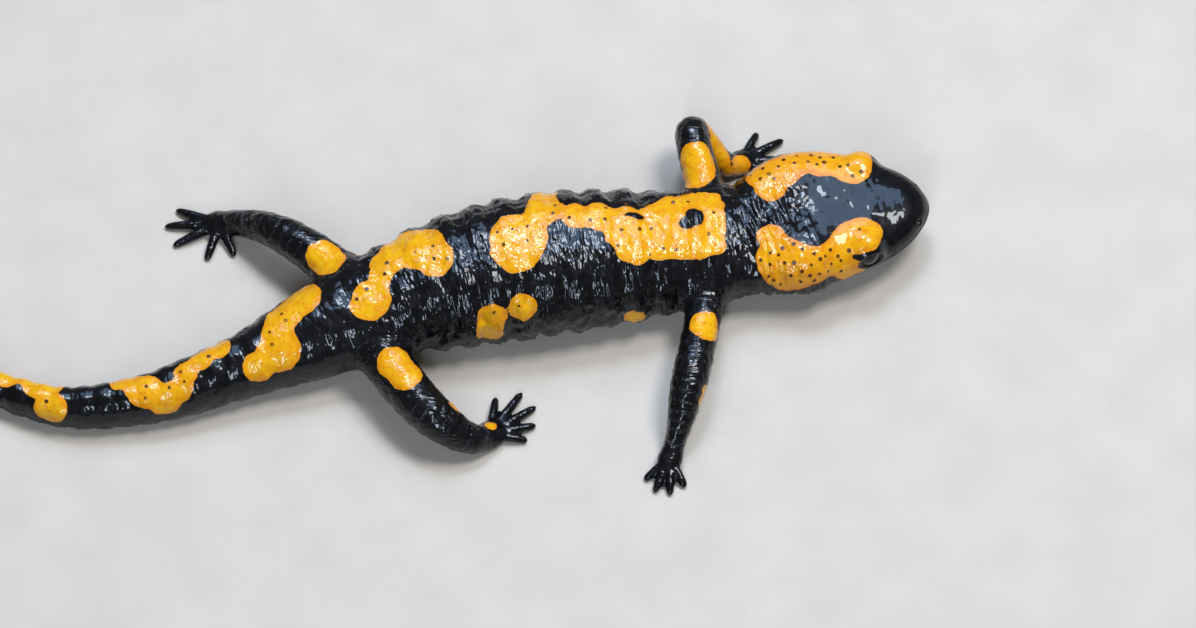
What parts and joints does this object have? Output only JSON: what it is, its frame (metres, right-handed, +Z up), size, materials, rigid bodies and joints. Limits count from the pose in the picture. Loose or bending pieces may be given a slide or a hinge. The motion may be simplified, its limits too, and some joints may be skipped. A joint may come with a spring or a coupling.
{
  "type": "fire salamander",
  "caption": "Life-size still model of a fire salamander walking with its belly down, head raised a little and long round tail curved behind it.",
  "frame": {"origin": "on the floor under the middle of the animal's bounds", "axes": "+X toward the snout, +Y toward the animal's left side, +Z up from the floor"},
  "size_m": [0.1788, 0.0706, 0.0168],
  "materials": {
    "skin": "wet, glossy black skin with yellow markings",
    "eye": "clear, wet and very glossy"
  },
  "bodies": {
    "root": {"head": "skin", "neck": "skin", "chest": "skin", "trunk": "skin", "pelvis": "skin", "tail_base": "skin", "tail_middle": "skin", "tail_tip": "skin", "upper_arm_left": "skin", "forearm_left": "skin", "hand_left": "skin", "upper_arm_right": "skin", "forearm_right": "skin", "hand_right": "skin", "thigh_left": "skin", "shank_left": "skin", "foot_left": "skin", "thigh_right": "skin", "shank_right": "skin", "foot_right": "skin", "eye_left": "eye", "eye_right": "eye"}
  },
  "joints": []
}
